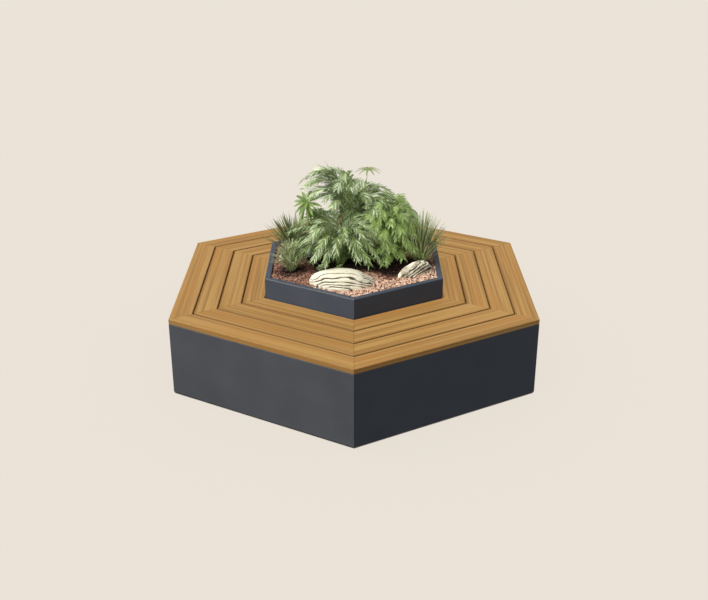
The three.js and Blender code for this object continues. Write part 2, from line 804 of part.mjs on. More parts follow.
// Grows a plant leaf by leaf. Outside its heart, a leaf that would touch what is already there stays shorter.
function growPlant({ name, rootShares, crown: radius }, stems, leaves, taken) {
  const [x, y, z] = onBed(rootShares);
  const place = (leafSolid, { out, heading, foot }) => leafSolid.translate(out, 0, 0)
    .rotate([0, 0, heading]).translate(x + foot[0], y + foot[1], z + foot[2]);
  let plant = crown(radius).translate(x, y, z);
  let claimed = crown(radius + seatGap).translate(x, y, z);
  for (const [top, diameter, bud] of stems) {
    plant = plant.add(stem(top, diameter, bud).translate(x, y, z));
    claimed = claimed.add(stem(top, diameter + 2 * seatGap, bud + 2 * seatGap).translate(x, y, z));
  }
  for (const leaf of leaves) {
    const heart = crown(leaf.heart).translate(x + leaf.foot[0], y + leaf.foot[1], z + leaf.foot[2]);
    for (const grow of growthShares) {
      const arch = leaf.arch(grow);
      const grown = place(growLeaf(leaf.pattern, arch, leafThickness, 0), leaf);
      if (!grown.intersect(taken).isEmpty() || !grown.subtract(heart).intersect(claimed).isEmpty()) continue;
      plant = plant.add(grown);
      claimed = claimed.add(place(growLeaf(leaf.pattern, arch, leafThickness + 2 * seatGap, seatGap), leaf));
      break;
    }
  }
  addPiece(name, toGeometry(plant.subtract(bedSolid(seatGap))), plantMaterials[name]);
  return taken.add(claimed);
}

const plantMaterials = {
  tall_fern: fernGreen,
  front_fern: fernGreen,
  feather_palm: palmGreen,
  fan_leaf_plant: palmGreen,
  grass_tuft_left: grassGreen,
  grass_tuft_right: grassGreen,
  spiky_tuft: grassGreen,
};

function addBed() {
  addPiece('soil_bed', toGeometry(bedSolid(0)), mulch);
  let taken = hexRing(tubApothem - rimWidth - seatGap, tubApothem + tubBoardGap, bedTop, rimTop + seatGap);
  for (const details of [frontStone, rightStone, leftStone]) {
    const rock = stone(details);
    addPiece(details.name, toGeometry(rock.subtract(bedSolid(seatGap))), paleStone);
    taken = taken.add(rock);
  }
  const fanTops = fanPlant.whorlHeightShares.map((share, i) => {
    const heading = degrees(fanPlant.stemAngles[i]);
    const [across, deep] = [Math.cos(heading), Math.sin(heading)].map((part) => fanPlant.stemLean * part);
    return [across, deep, fanPlant.height * share];
  });
  const fanStems = fanTops.map((top) => [top, fanPlant.stem, fanPlant.bud]);
  const fanLeaves = fanTops.flatMap((top, i) => whorlLeaves(top, fanPlant.whorlAngle * (i + 1), fanPlant));
  taken = growPlant(fanPlant, fanStems, fanLeaves, taken);
  const umbrellaTop = [umbrella.lean, 0, umbrella.rise];
  const umbrellaLeaves = whorlLeaves(umbrellaTop, umbrella.whorlAngle, umbrella);
  const tallStems = [[umbrellaTop, tallFern.stalk, umbrella.bud]];
  taken = growPlant(tallFern, tallStems, [...frondLeaves(tallFern), ...umbrellaLeaves], taken);
  taken = growPlant(frontFern, [], frondLeaves(frontFern), taken);
  taken = growPlant(featherPalm, [], frondLeaves(featherPalm), taken);
  taken = growPlant(leftTuft, [], tuftLeaves(leftTuft), taken);
  taken = growPlant(rightTuft, [], tuftLeaves(rightTuft), taken);
  growPlant(spikyTuft, [], tuftLeaves(spikyTuft), taken);
}

addBoards();
addSkirt();
addTub();
addRibs();
addFeet();
addBed();

export default bench;
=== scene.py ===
import json
import math
import random

import bpy
from mathutils import Euler, Matrix, Vector, noise

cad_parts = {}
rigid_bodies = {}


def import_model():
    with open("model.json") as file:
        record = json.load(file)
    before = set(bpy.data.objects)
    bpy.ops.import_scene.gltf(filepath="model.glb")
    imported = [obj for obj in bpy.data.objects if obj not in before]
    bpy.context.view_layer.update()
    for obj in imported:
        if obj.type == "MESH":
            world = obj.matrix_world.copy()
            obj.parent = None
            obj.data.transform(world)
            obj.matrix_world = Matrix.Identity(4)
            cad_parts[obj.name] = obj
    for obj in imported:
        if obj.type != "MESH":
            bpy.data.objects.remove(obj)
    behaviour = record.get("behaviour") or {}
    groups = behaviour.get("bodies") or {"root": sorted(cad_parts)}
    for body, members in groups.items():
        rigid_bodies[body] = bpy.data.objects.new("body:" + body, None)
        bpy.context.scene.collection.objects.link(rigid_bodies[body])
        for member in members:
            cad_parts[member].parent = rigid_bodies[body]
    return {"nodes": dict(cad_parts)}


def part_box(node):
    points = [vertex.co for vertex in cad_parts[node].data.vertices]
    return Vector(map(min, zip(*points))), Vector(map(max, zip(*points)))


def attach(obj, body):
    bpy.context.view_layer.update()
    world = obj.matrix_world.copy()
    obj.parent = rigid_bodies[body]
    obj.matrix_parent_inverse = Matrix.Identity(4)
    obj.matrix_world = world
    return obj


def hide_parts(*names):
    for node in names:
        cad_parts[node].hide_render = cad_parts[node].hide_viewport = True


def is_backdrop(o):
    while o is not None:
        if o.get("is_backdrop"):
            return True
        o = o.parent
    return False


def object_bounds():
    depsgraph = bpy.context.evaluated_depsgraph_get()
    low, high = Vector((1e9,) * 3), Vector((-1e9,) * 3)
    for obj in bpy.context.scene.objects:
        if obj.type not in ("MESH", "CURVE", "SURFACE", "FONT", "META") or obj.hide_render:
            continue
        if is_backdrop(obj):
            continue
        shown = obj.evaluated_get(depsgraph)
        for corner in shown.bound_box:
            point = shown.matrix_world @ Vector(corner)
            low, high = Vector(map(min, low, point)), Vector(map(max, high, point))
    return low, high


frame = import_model()
cad_low, cad_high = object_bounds()

# The camera stands in front of the bench a little above head height, on the line of its nearest
# corner, and looks down on the seat as the photograph does.
camera_lens = 52.805
camera_place = (0.0, -5.6045, 2.8114)
camera_pitch_down = 24.074
camera_data = bpy.data.cameras.new("camera")
camera_data.lens = camera_lens
camera = bpy.data.objects.new("camera", camera_data)
camera.location = camera_place
camera.rotation_euler = (math.radians(90 - camera_pitch_down), 0, 0)
bpy.context.scene.collection.objects.link(camera)
bpy.context.scene.camera = camera

# The studio: a pale floor that runs out of sight, an even soft dome of light, and one broad lamp
# from the front left. The floor glows a little by itself, so that it stays as even as a paper sweep.
bpy.context.scene.view_settings.view_transform = "Standard"
floor_size = 60.0
paper = (0.831, 0.768, 0.687)
paper_glow = 0.8
dome_above = 0.46
dome_below = 0.2
dome_colour = (1.0, 0.985, 0.96)
lamp_from = (-160, 46)
lamp_strength = 3.7
lamp_colour = (1.0, 0.985, 0.95)
lamp_on_steel_strength = 7.0
lamp_on_steel_colour = (1.0, 0.816, 0.64)
lamp_softness = 50


def new_material(name, **sockets):
    """A material with its nodes and its shader, whose sockets get the values that are given."""
    material = bpy.data.materials.new(name)
    material.use_nodes = True
    nodes = material.node_tree.nodes
    shader = nodes["Principled BSDF"]
    set_sockets(shader, **sockets)
    return material, nodes, shader


def feed(value, socket):
    """Gives a socket a value, or links another node's output to it."""
    if isinstance(value, bpy.types.NodeSocket):
        socket.id_data.links.new(value, socket)
    elif socket.type == "RGBA":
        socket.default_value = (*value, 1)
    else:
        socket.default_value = value


def set_sockets(node, **values):
    """Feeds a node's sockets by name, with _ for each space in the name."""
    for name, value in values.items():
        feed(value, node.inputs[name.replace("_", " ")])


def new_node(nodes, kind, **values):
    node = nodes.new(f"ShaderNode{kind}")
    set_sockets(node, **values)
    return node


def ranged(nodes, value, low, high, to_low=0.0, to_high=1.0):
    """A value carried from one range to another."""
    return new_node(nodes, "MapRange", Value=value, From_Min=low, From_Max=high, To_Min=to_low,
                    To_Max=to_high).outputs["Result"]


def new_object(name, points, faces):
    mesh = bpy.data.meshes.new(name)
    mesh.from_pydata(points, [], faces)
    mesh.update()
    piece = bpy.data.objects.new(name, mesh)
    bpy.context.scene.collection.objects.link(piece)
    return piece


def spoke(angle, out=1.0, up=0.0):
    """The point that lies so far out at an angle round the middle, and so high."""
    return Vector((out * math.cos(angle), out * math.sin(angle), up))


half = floor_size / 2
floor_corners = [(-half, -half, 0), (half, -half, 0), (half, half, 0), (-half, half, 0)]
floor = new_object("studio_floor", floor_corners, [(0, 1, 2, 3)])
floor_paper, nodes, _ = new_material("studio_paper")
glow_strength = (1 - (1 - paper_glow) * dome_above) / paper_glow
glow = new_node(nodes, "Emission", Color=paper, Strength=glow_strength)
matt = new_node(nodes, "BsdfDiffuse", Color=paper)
both = new_node(nodes, "MixShader", Fac=1 - paper_glow)
feed(glow.outputs[0], both.inputs[1])
feed(matt.outputs[0], both.inputs[2])
set_sockets(nodes["Material Output"], Surface=both.outputs[0])
floor.data.materials.append(floor_paper)

# Under the bench the same paper doesn't glow, so it's as dark between the boards as it would be
shaded_paper, nodes, _ = new_material("studio_paper_in_shade")
set_sockets(nodes["Material Output"], Surface=new_node(nodes, "BsdfDiffuse", Color=paper).outputs[0])
shade_reach = cad_high.y - 0.004
shade_above_floor = 0.0003
shade_corners = [spoke(math.radians(60 * k + 30), shade_reach, shade_above_floor) for k in range(6)]
shaded_floor = new_object("studio_floor_in_shade", shade_corners, [tuple(range(6))])
shaded_floor.data.materials.append(shaded_paper)
for piece in (floor, shaded_floor):
    piece.visible_diffuse = False
    piece.visible_glossy = False
    piece.visible_shadow = False
    piece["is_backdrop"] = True

world = bpy.data.worlds.new("studio")
world.use_nodes = True
bpy.context.scene.world = world
nodes = world.node_tree.nodes
direction = nodes.new("ShaderNodeTexCoord").outputs["Generated"]
height = new_node(nodes, "SeparateXYZ", Vector=direction).outputs["Z"]
dome = nodes["Background"]
set_sockets(dome, Color=dome_colour, Strength=ranged(nodes, height, -0.25, 0.25, dome_below, dome_above))
backdrop = new_node(nodes, "Background", Color=paper)
choose = new_node(nodes, "MixShader", Fac=nodes.new("ShaderNodeLightPath").outputs["Is Camera Ray"])
feed(dome.outputs[0], choose.inputs[1])
feed(backdrop.outputs[0], choose.inputs[2])
set_sockets(nodes["World Output"], Surface=choose.outputs[0])


def broad_lamp(name, objects, link_state, strength=lamp_strength, where=lamp_from, colour=lamp_colour):
    """A soft lamp, from the front left if not said, that lights only these objects, or all but these."""
    lamp_data = bpy.data.lights.new(name, "SUN")
    lamp_data.energy = strength
    lamp_data.angle = math.radians(lamp_softness)
    lamp_data.color = colour
    lamp = bpy.data.objects.new(name, lamp_data)
    heading, lift = (math.radians(a) for a in where)
    toward = spoke(heading, math.cos(lift), math.sin(lift))
    lamp.rotation_euler = toward.to_track_quat("Z", "Y").to_euler()
    bpy.context.scene.collection.objects.link(lamp)
    group = bpy.data.collections.new(f"{name}_group")
    for piece in objects:
        group.objects.link(piece)
    lamp.light_linking.receiver_collection = group
    for entry in group.collection_objects:
        entry.light_linking.link_state = link_state
    return lamp, group


# The boards have a lamp of their own, which the planting doesn't shade, as in the photograph, and the
# dark steel has a stronger and warmer one, so that its sides read as clearly as they do there
seat = [piece for name, piece in frame["nodes"].items() if name.startswith("seat_board")]
steel = [piece for name, piece in frame["nodes"].items() if name.startswith(("planter_tub", "skirt_panel"))]
all_group = broad_lamp("lamp_on_all", [floor, shaded_floor, *seat, *steel], "EXCLUDE")[1]
seat_lamp, seat_group = broad_lamp("lamp_on_seat", seat, "INCLUDE")
seat_lamp.light_linking.blocker_collection = seat_group
broad_lamp("lamp_on_steel", steel, "INCLUDE", lamp_on_steel_strength, lamp_from, lamp_on_steel_colour)

# The six sides of the bench turn about its middle; these directions are used by every section.
sides = 6
side_turn = 2 * math.pi / sides


def turned(point, angle):
    return Matrix.Rotation(angle, 3, "Z") @ Vector(point)


def soften(piece, width, segments=2, angle=30):
    weld = piece.modifiers.new("weld", "WELD")
    weld.merge_threshold = 1e-5
    ease = piece.modifiers.new("ease", "BEVEL")
    ease.width = width
    ease.segments = segments
    ease.limit_method = "ANGLE"
    ease.angle_limit = math.radians(angle)


# Levelling feet: turned steel pads with a grooved sole, a spanner hexagon and a rolled thread, all zinc
# plated. Each stud screws up into the sleeve of a corner rib, so a foot moves on its own.
pad_radius, pad_rise = 0.038, 0.010
neck_radius, neck_top = 0.017, 0.018
hexagon_flats, hexagon_top = 0.028, 0.026
thread_radius, thread_root, thread_pitch = 0.0073, 0.0064, 0.002
stud_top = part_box("levelling_foot_1")[1].z - 0.0002
sole_rings = (0.010, 0.020, 0.030)
ring_groove = 0.001


def turned_part(profile, around=48):
    """A closed turned part about the upright axis: the profile gives radius and height, foot to tip."""
    points = [Vector((0, 0, profile[0][1]))]
    for radius, z in profile[1:-1]:
        points += [spoke(2 * math.pi * k / around, radius, z) for k in range(around)]
    points.append(Vector((0, 0, profile[-1][1])))
    faces = []
    for k in range(around):
        n = (k + 1) % around
        faces.append((0, 1 + n, 1 + k))
        for ring in range(len(profile) - 3):
            low, high = 1 + ring * around, 1 + (ring + 1) * around
            faces.append((low + k, low + n, high + n, high + k))
        faces.append((len(points) - 1 - around + k, len(points) - 1 - around + n, len(points) - 1))
    return points, faces


def hexagon(flats, low, high):
    """A spanner hexagon with its corners eased at both ends."""
    corner = flats / 2 / math.cos(math.pi / 6)
    ease = flats * 0.04
    return turned_part([(0, low), (corner - 2 * ease, low), (corner, low + ease), (corner, high - ease),
                        (corner - 2 * ease, high), (0, high)], 6)


def rolled_thread(low, high, around=24):
    """The ridge of a screw thread, wound round its stud."""
    points, faces = [], []
    rows = int((high - low) / thread_pitch) * 2
    for row in range(rows + 1):
        radius = thread_root if row % 2 == 0 else thread_radius
        for k in range(around):
            turn = k / around
            points.append(spoke(2 * math.pi * turn, radius, low + (row / 2 + turn) * thread_pitch))
    for row in range(rows):
        for k in range(around):
            here, above = row * around + k, (row + 1) * around + k
            if k < around - 1:
                faces.append((here, here + 1, above + 1, above))
            elif row < rows - 2:
                faces.append((here, (row + 2) * around, (row + 3) * around, above))
    foot_rim = [*range(around), 2 * around, around]
    tip_rim = [*range(rows * around, (rows + 1) * around), rows * around - 1, (rows - 1) * around - 1]
    points += [Vector((0, 0, low)), Vector((0, 0, high))]
    for k in range(around + 2):
        n = (k + 1) % (around + 2)
        faces.append((len(points) - 2, foot_rim[n], foot_rim[k]))
        faces.append((tip_rim[k], tip_rim[n], len(points) - 1))
    return points, faces


def joined(name, parts, angle=35):
    """One piece from parts, each with the place that it goes to."""
    points, faces = [], []
    for (part_points, part_faces), place in parts:
        start = len(points)
        points += [place @ point for point in part_points]
        faces += [tuple(start + i for i in face) for face in part_faces]
    piece = new_object(name, points, faces)
    piece.data.shade_smooth()
    piece.data.set_sharp_from_angle(angle=math.radians(angle))
    return piece


def speckle(nodes, scale, detail, distortion=0.0):
    """Noise that stays with the piece, of so many grains to the metre."""
    where = nodes.new("ShaderNodeTexCoord").outputs["Object"]
    return new_node(nodes, "TexNoise", Vector=where, Scale=scale, Detail=detail,
                    Distortion=distortion).outputs["Fac"]


def ramp(nodes, value, stops):
    """A value turned into the colour at its place between the stops."""
    node = new_node(nodes, "ValToRGB", Fac=value)
    elements = node.color_ramp.elements
    while len(elements) < len(stops):
        elements.new(0.5)
    for element, (position, colour) in zip(elements, stops):
        element.position = position
        element.color = (*colour, 1)
    return node.outputs["Color"]


foot_zinc, nodes, shader = new_material("zinc_plate", Metallic=1.0)
spangle = speckle(nodes, 240, 4)
set_sockets(shader, Base_Color=ramp(nodes, spangle, [(0, (0.36, 0.37, 0.38)), (1, (0.62, 0.64, 0.65))]),
            Roughness=ranged(nodes, spangle, 0, 1, 0.28, 0.5))
sole = [(0, 0.0)]
for ring in sole_rings:
    sole += [(ring, 0.0), (ring + ring_groove, ring_groove), (ring + 3 * ring_groove, ring_groove),
             (ring + 4 * ring_groove, 0.0)]
pad = [*sole, (pad_radius - 0.0012, 0.0), (pad_radius, 0.0012), (pad_radius, pad_rise / 2 - 0.001),
       (pad_radius - 0.0015, pad_rise / 2 + 0.0006), (neck_radius + 0.003, pad_rise - 0.0002),
       (neck_radius, pad_rise + 0.003), (neck_radius, neck_top), (thread_root, neck_top + 0.001),
       (thread_root, stud_top - 0.002), (thread_root - 0.0018, stud_top), (0, stud_top)]
for side in range(sides):
    name = f"levelling_foot_{side + 1}"
    low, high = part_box(name)
    place = Matrix.Translation(((low.x + high.x) / 2, (low.y + high.y) / 2, low.z))
    heading = Matrix.Rotation((side + 0.5) * side_turn, 4, "Z")
    foot = joined(f"{name}_turned", [
        (turned_part(pad), place), (hexagon(hexagon_flats, neck_top - 0.002, hexagon_top), place @ heading),
        (rolled_thread(hexagon_top - 0.001, stud_top - 0.004), place)])
    foot.data.materials.append(foot_zinc)
    frame["nodes"][name].material_slots[0].material = foot_zinc
    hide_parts(name)
    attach(foot, name)


# Powder coat: dark slate polyester baked on the steel, with the faint orange peel of a sprayed skin
# and a little unevenness in its tone and gloss.
gloss_spread = 0.05


def rough_surface(nodes, shader, height, distance, strength=1.0):
    """Bumps of so many metres, where the height says."""
    bump = new_node(nodes, "Bump", Height=height, Distance=distance, Strength=strength)
    set_sockets(shader, Normal=bump.outputs["Normal"])


def powder_coat(name, dark, light, grain, roughness):
    material, nodes, shader = new_material(name, Specular_IOR_Level=0.34)
    cloud = speckle(nodes, 5, 5)
    set_sockets(shader, Base_Color=ramp(nodes, cloud, [(0.3, dark), (0.7, light)]),
                Roughness=ranged(nodes, cloud, 0, 1, roughness - gloss_spread, roughness + gloss_spread))
    rough_surface(nodes, shader, speckle(nodes, grain, 2), 0.0002, 0.25)
    return material


# The ribs that carry the boards: welded steel, one folded round each corner and one in the middle
# of each side, sprayed in the same dark slate as the rest.
rib_coat = powder_coat("rib_powder_coat", (0.040, 0.045, 0.051), (0.050, 0.056, 0.063), 420, 0.5)
for side in range(sides):
    for name in (f"corner_rib_{side + 1}", f"middle_rib_{side + 1}"):
        rib = frame["nodes"][name]
        rib.material_slots[0].material = rib_coat
        soften(rib, 0.0006)

# The weld beads that hold each rib's web to its flange, sprayed over with the rib.
bead_radius = 0.0026
bead_ripple = 0.0045
bead_inset = 0.001
rib_sheet = 0.005
middle_low, middle_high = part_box("middle_rib_1")
rib_reach = (middle_low.x + rib_sheet, middle_high.x - 0.036)
rib_top = middle_high.z


def weld_bead(start, end, around=6):
    """A rippled bead along a straight line, as a row of overlapping pools of metal leaves it."""
    along = end - start
    steps = 2 * int(along.length / bead_ripple)
    points, faces = turned_part([(0, 0)] + [
        (bead_radius * (1.0 if i % 2 else 0.8), along.length * (i + 0.5) / steps) for i in range(steps)
    ] + [(0, along.length)], around)
    lay = Matrix.Translation(start) @ along.to_track_quat("Z", "Y").to_matrix().to_4x4()
    return (points, faces), lay


beads = []
for step in range(2 * sides):
    heading = step * side_turn / 2
    stretch = 1 / math.cos(side_turn / 2) if step % 2 else 1
    for hand in (-1, 1):
        aside, under_flange = hand * (rib_sheet / 2 + bead_inset), rib_top - rib_sheet - bead_inset
        ends = [turned((reach * stretch, aside, under_flange), heading) for reach in rib_reach]
        beads.append(weld_bead(*ends))
bead = joined("rib_weld_beads", beads, 80)
bead.data.materials.append(rib_coat)
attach(bead, "bench")

# The planter tub: one welded steel box with its rim turned in, sprayed dark slate.
tub = frame["nodes"]["planter_tub"]
tub.material_slots[0].material = powder_coat(
    "tub_powder_coat", (0.031, 0.0465, 0.078), (0.038, 0.055, 0.088), 420, 0.46)
soften(tub, 0.0012, 3, 20)

# The skirt: six folded panels that meet at the corners in a hairline seam, screwed to the ribs from
# inside, so nothing shows outside but the plain sprayed sheet.
skirt_coat = powder_coat("skirt_powder_coat", (0.039, 0.0485, 0.067), (0.046, 0.0575, 0.079), 420, 0.5)
for side in range(sides):
    panel = frame["nodes"][f"skirt_panel_{side + 1}"]
    panel.material_slots[0].material = skirt_coat
    soften(panel, 0.0008, 3, 20)

# The seat boards: planed golden hardwood, oiled, with eased edges, laid in four rings and mitred.
# The grain runs along each board, and each board has its own run of it.
board_low, board_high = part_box("seat_board_ring1_side1")
next_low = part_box("seat_board_ring2_side1")[0]
board_inner = board_low.x
board_pitch = next_low.x - board_low.x
timber_pale = (0.440, 0.254, 0.080)
timber_mid = (0.312, 0.166, 0.046)
timber_dark = (0.230, 0.116, 0.034)
timber_orange = (0.405, 0.190, 0.046)
# Painted shade on the tops along the grooves
timber_edge_shade = (0.130, 0.060, 0.014)
# Painted light: the groove walls are lighter than the tops, so the shade in the grooves reads brown
timber_groove_painted_light = (0.560, 0.270, 0.060)
board_rings = 4
half_board = (board_high.x - board_low.x) / board_pitch / 2
groove_share = 0.012
groove_depth = 0.014
edge_shade_share = 0.07
# What moves the grain on from ring to ring, from side to side, and at first
ring_seed, side_seed, first_seed = 7.31, 3.17, 1.3


def maths(nodes, operation, *values):
    node = nodes.new("ShaderNodeMath")
    node.operation = operation
    for value, socket in zip(values, node.inputs):
        feed(value, socket)
    return node.outputs[0]


def mixed(nodes, share, first, second, blend="MIX"):
    mix = nodes.new("ShaderNodeMix")
    mix.data_type = "RGBA"
    mix.blend_type = blend
    set_sockets(mix, Factor=share, A=first, B=second)
    return mix.outputs["Result"]


def timber(side):
    """Oiled hardwood whose grain runs along the boards of one side, with a seed for each ring."""
    material, nodes, shader = new_material(f"oiled_hardwood_side{side + 1}", Specular_IOR_Level=0.3)
    where = nodes.new("ShaderNodeTexCoord").outputs["Object"]
    turn = new_node(nodes, "VectorRotate", Vector=where, Angle=-side * side_turn)
    turn.rotation_type = "Z_AXIS"
    across = new_node(nodes, "SeparateXYZ", Vector=turn.outputs["Vector"])
    ring = new_node(nodes, "MapRange", Value=across.outputs["X"], From_Min=board_inner,
                    From_Max=board_inner + board_pitch)
    ring.clamp = False
    rings_out = ring.outputs["Result"]
    board = maths(nodes, "FLOOR", rings_out)
    seed = maths(nodes, "MULTIPLY_ADD", board, ring_seed, side_seed * side + first_seed)
    moved = nodes.new("ShaderNodeVectorMath")
    feed(turn.outputs["Vector"], moved.inputs[0])
    feed(new_node(nodes, "CombineXYZ", Y=seed, Z=seed).outputs[0], moved.inputs[1])

    def streaks(across_scale, along_scale, detail, distortion=0.0):
        stretch = new_node(nodes, "Mapping", Vector=moved.outputs[0],
                           Scale=(across_scale, along_scale, across_scale))
        return new_node(nodes, "TexNoise", Vector=stretch.outputs[0], Scale=1, Detail=detail,
                        Distortion=distortion).outputs["Fac"]

    place = maths(nodes, "FRACT", rings_out)
    off_middle = maths(nodes, "ABSOLUTE", maths(nodes, "SUBTRACT", place, half_board))
    between = maths(nodes, "LESS_THAN", rings_out, board_rings - 1 + half_board)
    # The sides of the grooves, painted light that lifts the shade deep in them, but not the tops and the
    # outside
    beside = maths(nodes, "GREATER_THAN", off_middle, half_board - groove_share)
    top = board_high.z
    below = ranged(nodes, across.outputs["Z"], top - groove_depth, top - groove_depth / 5, 1.0, 0.0)
    painted_light_groove_wall = maths(nodes, "MULTIPLY", maths(nodes, "MULTIPLY", beside, below), between)
    # The tops along the grooves, darkened as painted shade that widens each groove's shadow
    near = ranged(nodes, off_middle, half_board - edge_shade_share, half_board - groove_share, 0.0, 0.6)
    painted_edge_shade = maths(nodes, "MULTIPLY", near, between)

    bands = streaks(62, 0.55, 3, 0.15)
    lines = streaks(420, 3, 3, 0.2)
    pores = streaks(1500, 34, 2)
    patches = streaks(17, 0.9, 2, 0.3)
    colour = mixed(nodes, ranged(nodes, bands, 0.42, 0.58), timber_mid, timber_pale)
    for figure, low, high, most, tone in (
            (patches, 0.48, 0.66, 0.6, timber_orange), (lines, 0.52, 0.72, 0.45, timber_dark),
            (pores, 0.6, 0.72, 0.5, timber_dark)):
        colour = mixed(nodes, ranged(nodes, figure, low, high, 0.0, most), colour, tone)
    colour = mixed(nodes, painted_edge_shade, colour, timber_edge_shade)
    set_sockets(shader, Base_Color=mixed(nodes, painted_light_groove_wall, colour, timber_groove_painted_light),
                Roughness=ranged(nodes, lines, 0.3, 0.7, 0.5, 0.68))
    relief = mixed(nodes, 1.0, ranged(nodes, lines, 0.3, 0.7, 1, 0.6),
                   ranged(nodes, pores, 0.55, 0.7, 1, 0), "MULTIPLY")
    rough_surface(nodes, shader, relief, 0.0003, 0.5)
    return material


for side in range(sides):
    grain = timber(side)
    for ring in range(board_rings):
        board = frame["nodes"][f"seat_board_ring{ring + 1}_side{side + 1}"]
        board.material_slots[0].material = grain
        soften(board, 0.0009, 2, 20)

# The screws: zinc-plated hexagon screws with a pressed washer, driven up through the ribs' flanges into
# the boards, and through the ribs' end plates into the tub's wall and the skirt.
screw_flats, screw_head = 0.010, 0.0048
washer_radius, washer_sheet = 0.009, 0.0012
screw_from_web = 0.020
screw_from_mitre = 0.042
plate_screw_aside = 0.032
plate_screw_drops = {"corner": (0.055, 0.205), "middle": (0.045, 0.068)}


def hexagon_screw(at, axis):
    """A screw head that stands on its washer at a point and looks along an axis."""
    washer = turned_part([(0, 0), (washer_radius, 0), (washer_radius, washer_sheet * 0.6),
                          (washer_radius - 0.0015, washer_sheet), (0, washer_sheet)], 20)
    place = Matrix.Translation(at) @ Vector(axis).to_track_quat("Z", "Y").to_matrix().to_4x4()
    return [(washer, place), (hexagon(screw_flats, washer_sheet, washer_sheet + screw_head), place)]


screws = []
for side in range(sides):
    normal = side * side_turn
    for board_ring in range(board_rings):
        middle = board_inner + board_ring * board_pitch + (board_high.x - board_low.x) / 2
        from_middle = middle * math.tan(side_turn / 2) - screw_from_mitre
        handed = screw_from_web * (1 if board_ring % 2 else -1)
        for aside in (-from_middle, handed, from_middle):
            screws += hexagon_screw(turned((middle, aside, rib_top - rib_sheet), normal), (0, 0, -1))
    tub_face, skirt_face = middle_low.x + rib_sheet, middle_high.x - rib_sheet
    for face, away in ((tub_face, 1), (skirt_face, -1)):
        corner = face * math.tan(side_turn / 2) - plate_screw_aside
        for aside, drops in ((corner, "corner"), (plate_screw_aside, "middle")):
            for hand in (-1, 1):
                for drop in plate_screw_drops[drops]:
                    at = turned((face, hand * aside, rib_top - drop), normal)
                    screws += hexagon_screw(at, turned((away, 0, 0), normal))
fixings = joined("zinc_screws", screws)
fixings.data.materials.append(foot_zinc)
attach(fixings, "bench")

# The bed: soil up to just under the rim, covered with a loose layer of terracotta-coloured bark chips
# that was raked out by hand and lies a little higher towards the middle.
bed_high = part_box("soil_bed")[1]
bed_edge = bed_high.x
shoulder_share = 0.55
bed_mound = 0.016
bed_top = bed_high.z - bed_mound


def from_centre(x, y):
    """How far out a place is, square to the nearest side."""
    side = round(math.atan2(y, x) / side_turn) * side_turn
    return x * math.cos(side) + y * math.sin(side)


def clamped(value):
    return min(1, max(0, value))


def bed_height(x, y):
    rise = (bed_edge - from_centre(x, y)) / (bed_edge * (1 - shoulder_share))
    return bed_top + bed_mound * clamped(rise)


def tinted(piece, tints, name="tint"):
    """Gives each point of a piece a number of its own."""
    layer = piece.data.attributes.new(name, "FLOAT", "POINT")
    layer.data.foreach_set("value", tints)


def layer_of(nodes, name):
    """Those numbers, for a material to read."""
    layer = nodes.new("ShaderNodeAttribute")
    layer.attribute_name = name
    return layer.outputs["Fac"]


soil, nodes, shader = new_material("soil", Roughness=0.95)
crumbs = speckle(nodes, 90, 8)
set_sockets(shader, Base_Color=ramp(nodes, crumbs, [(0.3, (0.09, 0.046, 0.030)), (0.7, (0.38, 0.21, 0.14))]))
rough_surface(nodes, shader, crumbs, 0.004)
soil_bed = frame["nodes"]["soil_bed"]
soil_bed.material_slots[0].material = soil
soften(soil_bed, 0.001)

bark, nodes, shader = new_material("bark_chips", Roughness=0.9, Specular_IOR_Level=0.2)
fibre = speckle(nodes, 260, 5, 1.5)
# The lowest tints, near black, are the painted shade under the planting
bark_colour = ramp(nodes, layer_of(nodes, "tint"), [
    (0.0, (0.012, 0.011, 0.010)), (0.2, (0.20, 0.100, 0.075)),
    (0.5, (0.64, 0.36, 0.25)), (1.0, (0.93, 0.70, 0.54))])
fibre_shade = ramp(nodes, fibre, [(0.3, (0.5, 0.45, 0.42)), (0.65, (1, 1, 1))])
set_sockets(shader, Base_Color=mixed(nodes, 0.6, bark_colour, fibre_shade, "MULTIPLY"))
rough_surface(nodes, shader, fibre, 0.0008)

chip_count = 8400
chip_size = (0.010, 0.034)
chip_sheet = (0.0022, 0.006)
chip_rise = 0.009
rim_clear = 0.004
chip_tilt = 0.32
chip_tone = (0.82, 0.13)
hexagon_stretch = 1.155
